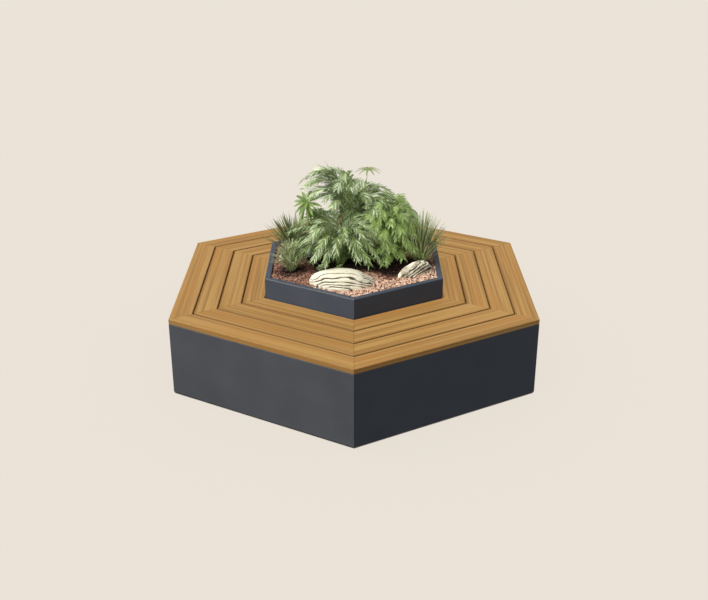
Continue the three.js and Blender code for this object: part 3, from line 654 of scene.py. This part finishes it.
# Painted shade: the chips on the left, and those round each crown, are tinted darker as the planting's
# shadow: its place and its shadow's reach
left_shade, left_from, left_fade = 0.6, -0.04, 0.2
crown_shade, crown_fade = 0.04, 0.07
crowns = [(-0.04, 0.12, 0.15), (-0.16, -0.16, 0.13), (0.42, -0.16, 0.13), (-0.72, -0.31, 0.04),
          (0.78, -0.06, 0.04), (-0.72, 0.31, 0.03), (-0.46, 0.06, 0.04), (0.12, -0.16, 0.08),
          (0.42, -0.38, 0.05)]
dice = random.Random(11)
points, faces, tints = [], [], []
placed = 0
while placed < chip_count:
    x, y = (dice.uniform(-bed_edge, bed_edge) * hexagon_stretch for _ in range(2))
    apothem = from_centre(x, y)
    length = dice.triangular(*chip_size, chip_size[0] * 1.4)
    if apothem > bed_edge - length / 2 - rim_clear:
        continue
    width = length * dice.uniform(0.35, 0.7)
    sheet = dice.uniform(*chip_sheet)
    corners = dice.choice((5, 6, 6, 7))
    tilt = [dice.gauss(0, chip_tilt) for _ in range(2)]
    lie = Euler((*tilt, dice.uniform(0, 2 * math.pi))).to_matrix()
    middle = Vector((x, y, bed_height(x, y) + dice.uniform(0, chip_rise)))
    start = len(points)
    for lift in (-1, 1):
        for corner in range(corners):
            angle = 2 * math.pi * corner / corners
            reach = dice.uniform(0.72, 1.0)
            at = Vector((math.cos(angle) * length * reach, math.sin(angle) * width * reach, sheet * lift))
            points.append(middle + lie @ at / 2)
    faces.append(tuple(start + c for c in reversed(range(corners))))
    faces.append(tuple(start + corners + c for c in range(corners)))
    for corner in range(corners):
        after = (corner + 1) % corners
        faces.append((start + corner, start + after, start + corners + after, start + corners + corner))
    crown = min((math.hypot(x - bed_edge * a, y - bed_edge * d) - reach) for a, d, reach in crowns)
    shade = max(crown_shade, clamped(crown / crown_fade))
    shade *= 1 - left_shade * clamped((left_from - x) / left_fade)
    tints += [clamped(dice.gauss(*chip_tone)) * shade] * (2 * corners)
    placed += 1
chips = new_object("bark_chips", points, faces)
tinted(chips, tints)
chips.data.materials.append(bark)
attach(chips, "bench")

# The stones: three water-worn lumps of cream limestone bedded in the bark. Their harder layers stand proud as
# ridges that sweep along the stone, with grooves between them that are coloured darker.
def limestone(name, stains_and_painted_dapples):
    material, nodes, shader = new_material(name, Roughness=0.9, Specular_IOR_Level=0.25)
    pits = speckle(nodes, 110, 8)
    # Blotches of stain, which on the right stone are also painted dappled shade
    blotches = ranged(nodes, speckle(nodes, 16, 5), 0.4, 0.62, 0.0, stains_and_painted_dapples)
    pits_and_grooves = maths(nodes, "MULTIPLY_ADD", pits, 0.4, layer_of(nodes, "groove"))
    set_sockets(shader, Base_Color=ramp(nodes, maths(nodes, "ADD", blotches, pits_and_grooves), [
        (0.12, (0.93, 0.90, 0.76)), (0.32, (0.74, 0.69, 0.53)),
        (0.58, (0.30, 0.26, 0.19)), (1.0, (0.05, 0.045, 0.04))]))
    rough_surface(nodes, shader, pits, 0.002, 0.7)
    return material


# Each stone's turn, seed, layers, their dip and arch, how high its grooves reach, its stains, which on the
# right stone also paint dappled shade, and how far its lumps stand out beyond the plain oval
stones = {
    "rock_front": (-4, 0.4, 4.3, (0.06, 0.46, 0.8), 0.46, 0.72, 0.1, 1),
    "rock_right": (42, 1.7, 3.4, (-0.5, 0.55, 0.6), 0.1, 0.62, 0.36, 1.1),
    "rock_left": (78, 2.9, 5.5, (0.2, 0.4, 0.8), 0.2, 0.9, 0.25, 1),
}
stone_steps = 110
bedded, sunk_share = 0.004, 0.45
# How far lumps, grit, layers and the cracks between them stand out or in, as shares of the stone
lump_rise, grit_rise, layer_depth, crack_depth = 0.09, 0.012, 0.025, 0.055
for name, (turn, wave, layers, dip, bowed, plain_above, stains_and_painted_dapples, bigger) in stones.items():
    low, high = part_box(name)
    middle = (low + high) / 2
    turn = math.radians(turn)
    span = (high - low) * bigger
    ground = bed_height(middle.x, middle.y) - bedded
    # The box of a turned oval gives back its own length and depth
    a, b = (span.x / 2) ** 2, (span.y / 2) ** 2
    c2, s2 = math.cos(turn) ** 2, math.sin(turn) ** 2
    length = math.sqrt(abs((a * c2 - b * s2) / (c2 * c2 - s2 * s2)))
    depth = math.sqrt(abs((b * c2 - a * s2) / (c2 * c2 - s2 * s2)))
    rise = high.z - ground
    points, faces, grooves = [], [], []
    around, up = stone_steps * 2, stone_steps
    for i in range(up + 1):
        tilt = math.pi * i / up
        for j in range(around):
            angle = 2 * math.pi * j / around
            d = spoke(angle, math.sin(tilt), math.cos(tilt))
            warp = noise.noise(d * 1.3 + Vector((wave, 0, 5)))
            long_wave = noise.noise(Vector((d.x * 1.1, d.y * 2.2, d.z * 2.2)) + Vector((wave, 7, 5)))
            fine = noise.noise(Vector((d.x * 3, d.y * 7, d.z * 7)) + Vector((wave * 2, 3, 0)))
            height_share = d.dot(Vector(dip))
            level = layers * (height_share + bowed * d.x * d.x + 0.3 * long_wave) + 0.22 * fine + wave
            cut = 0.5 - 0.5 * math.cos(2 * math.pi * level)
            worn = clamped((plain_above - height_share) / 0.3)
            strength = clamped(0.9 + 1.5 * noise.noise(d * 2.6 + Vector((9, wave, 1)))) * worn
            crack = max(0, 1 - cut * 3.4) ** 1.3 * strength
            reach = 1 + lump_rise * warp + grit_rise * fine - crack_depth * crack
            reach -= layer_depth * (1 - cut) * strength
            tall = rise * (1.0 if d.z > 0 else sunk_share)
            p = Vector((d.x * length, d.y * depth, d.z * tall)) * reach
            points.append(turned(p, turn) + Vector((middle.x, middle.y, ground)))
            # Darker in the cracks and towards the bottom
            grooves.append(min(1, crack * 1.1 + max(0, -d.z) * 0.4))
    for i in range(up):
        for j in range(around):
            k = (j + 1) % around
            faces.append((i * around + j, (i + 1) * around + j, (i + 1) * around + k, i * around + k))
    rock = new_object(f"{name}_limestone", points, faces)
    weld = rock.modifiers.new("poles", "WELD")
    weld.merge_threshold = 1e-6
    rock.data.shade_smooth()
    tinted(rock, grooves, "groove")
    rock.data.materials.append(limestone(f"limestone_{name}", stains_and_painted_dapples))
    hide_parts(name)
    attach(rock, "bench")


# Leaves: each leaf or leaflet is a thin closed blade with a raised midrib, which droops along its
# length, and each plant is grown leaf by leaf into one mesh with a tint for each leaflet.
dead_leaf = (0.17, 0.075, 0.040)
golden_angle = 137.5
upright = Vector((0, 0, 1))


def leaf_material(name, shades, vein, gloss):
    material, nodes, shader = new_material(name, Roughness=gloss, Specular_IOR_Level=0.5)
    mottle = maths(nodes, "MULTIPLY_ADD", speckle(nodes, 70, 3), 0.3, layer_of(nodes, "tint"))
    colour = ramp(nodes, mottle, shades)
    for layer, tone in (("rib", vein), ("age", dead_leaf)):
        colour = mixed(nodes, layer_of(nodes, layer), colour, tone)
    set_sockets(shader, Base_Color=colour)
    return material


class Growth:
    """The points, faces and tints of one plant while it grows."""

    def __init__(self, seed):
        self.dice = random.Random(seed)
        self.points, self.faces, self.tints, self.ribs, self.ages = [], [], [], [], []
        self.age = 0.0

    def point(self, place, tint, rib=0.0):
        self.points.append(place)
        self.tints.append(tint)
        self.ribs.append(rib)
        self.ages.append(self.age)
        return len(self.points) - 1

    def skin(self, first, rows, last):
        """Closes a body of rings of points between its first and its last point."""
        count = len(rows[0])
        for k in range(count):
            n = (k + 1) % count
            self.faces.append((first, rows[0][n], rows[0][k]))
            for low, high in zip(rows, rows[1:]):
                self.faces.append((low[k], low[n], high[n], high[k]))
            self.faces.append((rows[-1][k], rows[-1][n], last))

    def across(self, centre, reach, bend, thick, tint, underside_shade, ribs):
        """Four points across a blade: one edge, the top of its midrib, the other edge and the underside,
        dimmed as painted shade.
        """
        return (self.point(centre - reach + bend, tint), self.point(centre + thick, tint, ribs[0]),
                self.point(centre + reach + bend, tint), self.point(centre - thick, tint * underside_shade, ribs[1]))

    def leaf(self, base, along, up, length, width, tint, droop, profile, sheet=0.0007, fold=0.12):
        """A leaflet from base: profile lists shares along it and of its half width."""
        along = along.normalized()
        side = along.cross(up).normalized()
        lift = side.cross(along)
        first = self.point(base, tint, 0.5)
        rows = []
        for share, wide in profile:
            sink = droop * length * share * share
            centre = base + along * (length * share * (1 - 0.35 * droop * share)) - Vector((0, 0, sink))
            reach = side * (width / 2 * wide)
            bend = lift * (fold * width / 2 * wide)
            rows.append(self.across(centre, reach, bend, lift * (sheet / 2), tint, 0.75, (0.4, 0.3)))
        end = base + along * (length * (1 - 0.35 * droop)) - Vector((0, 0, droop * length))
        self.skin(first, rows, self.point(end, tint))

    def stalk(self, line, radius, tip_radius, tint, ring=5):
        """A tapering stalk along a line of points, closed at both ends."""
        rows = []
        for i in range(1, len(line) - 1):
            ahead = (line[i + 1] - line[i - 1]).normalized()
            side = ahead.cross(Vector((0.05, 0.02, 1))).normalized()
            top = side.cross(ahead)
            thick = radius + (tip_radius - radius) * i / (len(line) - 1)
            around = [2 * math.pi * k / ring for k in range(ring)]
            rows.append([self.point(line[i] + (side * math.cos(a) - top * math.sin(a)) * thick, tint, 0.7)
                         for a in around])
        self.skin(self.point(line[0], tint, 0.7), rows, self.point(line[-1], tint, 0.7))

    def blade(self, line, heading, width, tint, steps=7, keel=0.45, sheet=0.0009):
        """A long grassy blade along a line, folded along its middle."""
        centre = [line(k / steps) for k in range(steps + 1)]
        flat = Vector((math.sin(heading), -math.cos(heading), 0))
        first = self.point(centre[0], 0.1)
        rows = []
        for k in range(1, steps):
            share = k / steps
            ahead = (centre[k + 1] - centre[k - 1]).normalized()
            lift = flat.cross(ahead)
            half = width / 2 * (0.7 + 0.3 * math.sin(math.pi * share)) * (1 - 0.75 * share ** 3)
            # Painted shade: each blade is darker towards its base, inside the tuft
            tone = tint * (0.45 + 0.55 * share)
            bend = lift * (half * keel)
            rows.append(self.across(centre[k], flat * half, bend, lift * (sheet / 2), tone, 0.8, (0.3, 0.0)))
        self.skin(first, rows, self.point(centre[-1], tint))

    def finish(self, name, material, node):
        plant = new_object(name, self.points, self.faces)
        tinted(plant, self.tints)
        tinted(plant, self.ribs, "rib")
        tinted(plant, self.ages, "age")
        plant.data.materials.append(material)
        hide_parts(node)
        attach(plant, "bench")


def on_bed(across_share, deep_share):
    x, y = across_share * bed_edge, deep_share * bed_edge
    return Vector((x, y, bed_height(x, y)))


def arch(root, heading, out, reach, crest, tip, shares):
    """A leaf's line in an upright plane through its root: out, up over its crest and down to its tip."""
    lean, rise, over, top = shares
    level = [(0, 0), (reach * lean, crest * rise), (reach * over, crest * top), (reach, tip)]
    flat = spoke(heading)

    def at(t):
        weights = ((1 - t) ** 3, 3 * t * (1 - t) ** 2, 3 * t * t * (1 - t), t ** 3)
        x = sum(w * p[0] for w, p in zip(weights, level)) + out
        z = sum(w * p[1] for w, p in zip(weights, level))
        return root + flat * x + Vector((0, 0, z))

    return at


narrow = [(0.12, 0.7), (0.4, 1.0), (0.75, 0.62)]


def lobed(lobes):
    """The outline of a leaflet with lobes that lean forward and get smaller towards its tip."""
    outline = []
    for step in range(lobes):
        start = 0.05 + 0.9 * step / lobes
        full = 1 - 0.8 * (step / lobes) ** 1.6
        outline += [(start, 0.4 * full), (start + 0.62 / lobes, full)]
    return outline


def frond(growth, line, form, tint):
    """A stalk along a line with pairs of leaflets, each frond a little rolled about its stalk."""
    dice = growth.dice
    steps = 12
    growth.stalk([line(i / steps) for i in range(steps + 1)], form["stalk"] / 2, form["stalk"] / 6, 0.25)
    roll = dice.gauss(0, form["roll"])
    for i in range(form["pairs"]):
        share = (i + 0.5) / form["pairs"]
        t = form["bare"] + (1 - form["bare"]) * share
        base = line(t)
        ahead = (line(min(t + 0.02, 1)) - line(t - 0.02)).normalized()
        across = ahead.cross(upright).normalized()
        across = Matrix.Rotation(roll, 3, ahead) @ across
        top = across.cross(ahead)
        long = form["leaflet"] * (0.5 + 0.9 * share - 1.1 * share * share)
        for hand in (-1, 1):
            lean = form["sweep"] * dice.uniform(0.8, 1.2)
            along = across * (hand * math.cos(lean)) + ahead * math.sin(lean) - top * dice.uniform(-0.14, 0.2)
            facing = top + across * dice.gauss(0, 0.4)
            shade = clamped(tint + dice.gauss(0, form["mix"]))
            growth.leaf(base, along, facing, long * dice.uniform(0.75, 1.15),
                        form["width"] * dice.uniform(0.8, 1.15), shade,
                        form["droop"] * dice.uniform(0.5, 1.5), form["outline"])


def grow_fronds(growth, form, leaves):
    """Each leaf gives its heading, then its spread, crest and tip as shares of the plant's own."""
    for heading, spread, crest, tip in leaves:
        line = arch(form["root"], math.radians(heading), form["ring"], form["spread"] * spread,
                    form["height"] * crest, form["height"] * tip, form["arch"])
        # Painted light: a frond that crests higher gets a lighter tint, one that crests lower a darker one
        frond(growth, line, form, form["tint"] + 0.35 * (crest - 0.7) + growth.dice.uniform(-0.12, 0.12))


def filled_in(count, turn, spread, crest, drop, gap=(0, 0)):
    """Inner leaves that fill a plant: each turns on by the golden angle and hangs lower than the last."""
    for i in range(count):
        share = i / count
        heading = turn + golden_angle * i
        high = crest[0] + (crest[1] - crest[0]) * share
        if not gap[0] < heading % 360 < gap[1]:
            yield heading, spread[0] + (spread[1] - spread[0]) * share, high, high - drop


fern_green = leaf_material("fern_leaves", [
    (0.08, (0.044, 0.072, 0.016)), (0.38, (0.128, 0.195, 0.046)), (0.64, (0.262, 0.370, 0.112)),
    (0.84, (0.430, 0.542, 0.290)), (1.0, (0.67, 0.77, 0.57))], (0.20, 0.28, 0.09), 0.4)

# The tall fern: fronds on long bare stalks that rise from a crown near the middle of the bed and
# spread in level tiers, with one stem that ends in a small umbrella of leaflets.
tall_form = {
    "root": on_bed(-0.04, 0.12), "height": 0.544, "spread": 0.262, "ring": 0.019,
    "arch": (0.06, 0.86, 0.36, 1.14), "bare": 0.34, "stalk": 0.006, "pairs": 44, "sweep": 1.0, "roll": 0.22,
    "leaflet": 0.108, "width": 0.0046, "droop": 0.16, "outline": narrow, "tint": 0.46, "mix": 0.3}
tall_leaves = [
    (178, 1, 0.97, 0.84), (192, 0.96, 0.93, 0.8), (206, 0.92, 0.84, 0.72), (163, 0.9, 0.96, 0.84),
    (185, 0.8, 0.99, 0.92), (132, 0.6, 0.93, 0.86), (96, 0.5, 0.84, 0.78), (52, 0.66, 0.78, 0.7),
    (14, 0.9, 0.8, 0.68), (352, 0.96, 0.76, 0.66), (326, 0.8, 0.74, 0.66), (300, 0.6, 0.78, 0.74),
    (270, 0.5, 0.9, 0.86), (240, 0.5, 0.92, 0.84), (182, 0.96, 0.8, 0.68), (170, 0.7, 0.9, 0.82),
    (199, 0.7, 0.99, 0.9), (255, 0.5, 0.99, 0.95), (174, 0.94, 0.88, 0.76)]
tall_fern = Growth(21)
grow_fronds(tall_fern, tall_form, tall_leaves)
# Painted light: the inner and lowest fronds get lighter tints, which lift the shade inside the plant
inner_form_painted_light = {**tall_form, "tint": 0.6}
grow_fronds(tall_fern, inner_form_painted_light, filled_in(14, 30, (0.6, 0.76), (0.78, 0.7), 0.05, (244, 296)))
grow_fronds(tall_fern, inner_form_painted_light, filled_in(20, 15, (0.76, 0.92), (0.7, 0.6), 0.05, (148, 296)))
grow_fronds(tall_fern, {**tall_form, "bare": 0.28, "tint": 0.8},
            filled_in(40, 75, (0.7, 1.0), (0.64, 0.32), 0.05, (140, 290)))
tall_fern.age = 0.75
arc_form = {**tall_form, "pairs": 20, "leaflet": 0.05, "width": 0.006, "bare": 0.5}
grow_fronds(tall_fern, arc_form, [(356, 1.36, 0.8, 0.47)])
grow_fronds(tall_fern, {**arc_form, "pairs": 12}, filled_in(9, 230, (0.4, 0.6), (0.56, 0.4), 0.16))
tall_fern.age = 0.0
umbrella_rise, umbrella_lean, umbrella_leaves = 0.526, 0.100, 11
stem_steps = 8
stem_line = []
for i in range(stem_steps + 1):
    share = i / stem_steps
    stem_line.append(tall_form["root"] + Vector((umbrella_lean * share ** 0.8, 0, umbrella_rise * share)))
tall_fern.age = 0.3
tall_fern.stalk(stem_line, 0.0035, 0.0018, 0.2)
tall_fern.age = 0.14
for i in range(umbrella_leaves):
    along = spoke(2 * math.pi * i / umbrella_leaves, 1, 0.3)
    tall_fern.leaf(stem_line[-1], along, upright, 0.094, 0.022, 0.34, 0.36, lobed(9))
tall_fern.finish("tall_fern_fronds", fern_green, "tall_fern")

# The front fern: lower, softer fronds that spread from a crown behind the front stone and weep over
# it, with two rosettes of small broad leaves at its foot.
front_form = {
    "root": on_bed(-0.16, -0.16), "height": 0.300, "spread": 0.282, "ring": 0.017,
    "arch": (0.12, 0.74, 0.42, 1.22), "bare": 0.14, "stalk": 0.005, "pairs": 44, "sweep": 1.0, "roll": 0.22,
    "leaflet": 0.105, "width": 0.0043, "droop": 0.24, "outline": narrow, "tint": 0.42, "mix": 0.28}
front_leaves = [
    (186, 1, 0.84, 0.7), (210, 0.94, 0.6, 0.36), (148, 0.7, 1.02, 0.94), (236, 0.84, 0.8, 0.4),
    (264, 0.72, 0.84, 0.46), (292, 0.86, 0.8, 0.4), (320, 1, 0.8, 0.3), (346, 0.96, 0.9, 0.5),
    (110, 0.5, 1, 0.94), (198, 0.98, 0.76, 0.5), (174, 0.94, 0.94, 0.76), (222, 0.8, 0.94, 0.7),
    (250, 0.8, 0.68, 0.3), (278, 0.66, 0.98, 0.76), (306, 0.94, 0.66, 0.3), (333, 0.9, 1.0, 0.66),
    (5, 0.9, 0.96, 0.7)]
front_fern = Growth(22)
grow_fronds(front_fern, front_form, front_leaves)
grow_fronds(front_fern, front_form, filled_in(30, 15, (0.5, 0.96), (1.02, 0.7), 0.16, (246, 294)))
grow_fronds(front_fern, front_form, filled_in(28, 50, (0.5, 0.92), (0.66, 0.3), 0.14, (236, 300)))
rosette_leaves = 9
leaf_oval = [(0.15, 0.7), (0.4, 1.0), (0.7, 0.8), (0.9, 0.35)]
for across, deep in ((-0.38, -0.40), (-0.17, -0.41)):
    middle = on_bed(across, deep)
    for i in range(rosette_leaves):
        along = spoke(math.radians(golden_angle * i), 1, 0.3 + 1.2 * i / rosette_leaves)
        head = middle + Vector((0, 0, 0.012 + 0.03 * i / rosette_leaves))
        front_fern.stalk([middle.lerp(head, k / 3) for k in range(4)], 0.002, 0.0015, 0.2)
        tint = front_fern.dice.uniform(0.55, 0.75)
        front_fern.leaf(head, along, upright, 0.042, 0.024, tint, 0.4, leaf_oval)
front_fern.finish("front_fern_fronds", fern_green, "front_fern")

# The feather palm: bright green fronds of narrow leaflets in a dense clump on the right of the bed.
palm_green = leaf_material("palm_leaves", [
    (0.08, (0.064, 0.105, 0.022)), (0.38, (0.150, 0.240, 0.048)), (0.7, (0.270, 0.390, 0.105)),
    (1.0, (0.42, 0.55, 0.26))], (0.24, 0.35, 0.09), 0.46)
palm_form = {
    "root": on_bed(0.41, -0.08), "height": 0.400, "spread": 0.196, "ring": 0.015,
    "arch": (0.14, 0.72, 0.4, 1.16), "bare": 0.14, "stalk": 0.005, "pairs": 40, "sweep": 0.75, "roll": 0.4,
    "leaflet": 0.105, "width": 0.0042, "droop": 0.34, "outline": narrow, "tint": 0.44, "mix": 0.13}
palm_leaves = [
    (96, 0.5, 1, 0.94), (24, 0.8, 0.84, 0.7), (340, 0.8, 0.66, 0.44), (302, 0.9, 0.7, 0.4),
    (262, 1, 0.72, 0.34), (224, 1, 0.8, 0.42), (190, 0.9, 0.88, 0.6), (64, 0.8, 0.94, 0.84),
    (136, 0.8, 0.96, 0.8), (283, 0.8, 0.84, 0.5), (243, 0.86, 0.92, 0.6), (206, 0.94, 0.72, 0.36),
    (320, 0.84, 0.8, 0.5), (0, 0.9, 0.78, 0.5), (160, 0.84, 0.8, 0.56)]
feather_palm = Growth(23)
grow_fronds(feather_palm, palm_form, palm_leaves)
grow_fronds(feather_palm, palm_form, filled_in(34, 40, (0.4, 1.0), (1.02, 0.66), 0.1))
# Painted light: the lower fronds get a lighter tint to lift their shade
grow_fronds(feather_palm, {**palm_form, "tint": 0.46}, filled_in(30, 10, (0.6, 1.0), (0.66, 0.26), 0.12))
feather_palm.finish("feather_palm_fronds", palm_green, "feather_palm")

# The fan-leaf plant: two slender stems at the left, each with a whorl of strap leaves at its head
# like the fingers of a hand, and older leaves that hang below.
fan_root = on_bed(-0.48, 0.02)
fan_height = 0.362
fan_lean = 0.036
fan_tops = [spoke(math.radians(heading), fan_lean, fan_height * share)
            for heading, share in ((215, 1), (35, 0.72))]
fan_tops[0].y -= 0.024
fan_leaves, fan_leaf_long, fan_leaf_wide = 14, 0.092, 0.019
hanging_leaves, hanging_long, hanging_wide, hanging_below = 9, 0.100, 0.014, 0.015
fan_tilt = Matrix.Rotation(math.radians(38), 3, "X") @ Matrix.Rotation(math.radians(-14), 3, "Y")
strap = [(0.1, 0.45), (0.3, 0.85), (0.55, 1.0), (0.78, 0.75), (0.92, 0.36)]
fan_plant = Growth(24)
for top in fan_tops:
    head = fan_root + top
    stem_line = [fan_root.lerp(head, i / stem_steps) + Vector((0.004 * math.sin(i), 0, 0))
                 for i in range(stem_steps + 1)]
    fan_plant.stalk(stem_line, 0.0045, 0.0032, 0.25)
    for i in range(fan_leaves):
        rise = 1.1 - 1.2 * (i / fan_leaves) ** 0.6
        along = fan_tilt @ spoke(math.radians(golden_angle * i), 1, rise)
        fan_plant.leaf(head, along, fan_tilt @ upright, fan_leaf_long * fan_plant.dice.uniform(0.88, 1.05),
                       fan_leaf_wide, fan_plant.dice.uniform(0.0, 0.26), fan_plant.dice.uniform(0.1, 0.3),
                       strap, 0.0009, 0.35)
    for i in range(hanging_leaves):
        along = spoke(math.radians(51 * i + 20), 1, -0.5)
        fan_plant.leaf(head - upright * hanging_below, along, upright, hanging_long, hanging_wide, 0.15, 0.95,
                       strap, 0.0009, 0.2)
fan_plant.finish("fan_leaf_whorls", palm_green, "fan_leaf_plant")

# The three tufts: stiff grassy blades that stand in a bunch and lean outward, at the left front,
# behind on the left, and at the right edge of the bed.
grass_green = leaf_material("grass_blades", [
    (0.08, (0.050, 0.064, 0.022)), (0.38, (0.135, 0.175, 0.062)), (0.7, (0.280, 0.345, 0.145)),
    (1.0, (0.58, 0.63, 0.38))], (0.23, 0.28, 0.12), 0.42)
# Each tuft's place, height, spread, arch, blades, first heading, their width, least spread, tip and tones
tufts = {
    "grass_tuft_left": (
        (-0.72, -0.31), 0.200, 0.116, (0.2, 0.5, 0.62, 0.94), 250, 20, 0.0066, 0.16, 0.9, (0.4, 1.3)),
    "grass_tuft_right": (
        (0.78, -0.06), 0.334, 0.186, (0.3, 0.42, 0.68, 0.86), 190, 64, 0.0078, 0.25, 1, (0.35, 1.15)),
    "spiky_tuft": (
        (-0.72, 0.31), 0.244, 0.200, (0.3, 0.36, 0.66, 0.72), 180, 8, 0.0090, 0.3, 1, (0.1, 0.85)),
}
first_tuft_seed = 31
for number, name in enumerate(tufts):
    place, height, spread, shares, count, turn, width, least, tip, tones = tufts[name]
    tuft = Growth(first_tuft_seed + number)
    root = on_bed(*place)
    for i in range(count):
        heading = math.radians(turn + golden_angle * i)
        out = tuft.dice.uniform(0, 1)
        reach = spread * (least + (1 - least) * out)
        tall = height * (1 - 0.5 * out * out) * tuft.dice.uniform(0.72, 1.0)
        line = arch(root, heading, 0.016 * out, reach, tall, tall * (1 - (1 - tip) * out), shares)
        tuft.blade(line, heading, width * tuft.dice.uniform(0.8, 1.1), tuft.dice.uniform(*tones))
    tuft.finish(f"{name}_blades", grass_green, name)

# The planting has a little light of its own from the front, and the right stone has a lamp that only
# the tuft beside it shades, as the blades dapple it in the photograph
planting = [piece for piece in bpy.data.objects if piece.name.endswith(("fronds", "whorls", "blades"))]
fill_strength, fill_from = 1.5, (-60, 22)
stone_lamp_strength, stone_lamp_softness = 5.0, 6
broad_lamp("fill_on_planting", planting, "INCLUDE", fill_strength, fill_from)
right_stone = bpy.data.objects["rock_right_limestone"]
all_group.objects.link(right_stone)
for entry in all_group.collection_objects:
    entry.light_linking.link_state = "EXCLUDE"
stone_lamp = broad_lamp("lamp_on_right_stone", [right_stone], "INCLUDE", stone_lamp_strength)[0]
stone_lamp.data.angle = math.radians(stone_lamp_softness)
dapples = bpy.data.collections.new("dapples")
for piece in (right_stone, bpy.data.objects["grass_tuft_right_blades"]):
    dapples.objects.link(piece)
stone_lamp.light_linking.blocker_collection = dapples

# What the finished model measures, beside the frame that it was built on
low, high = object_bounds()
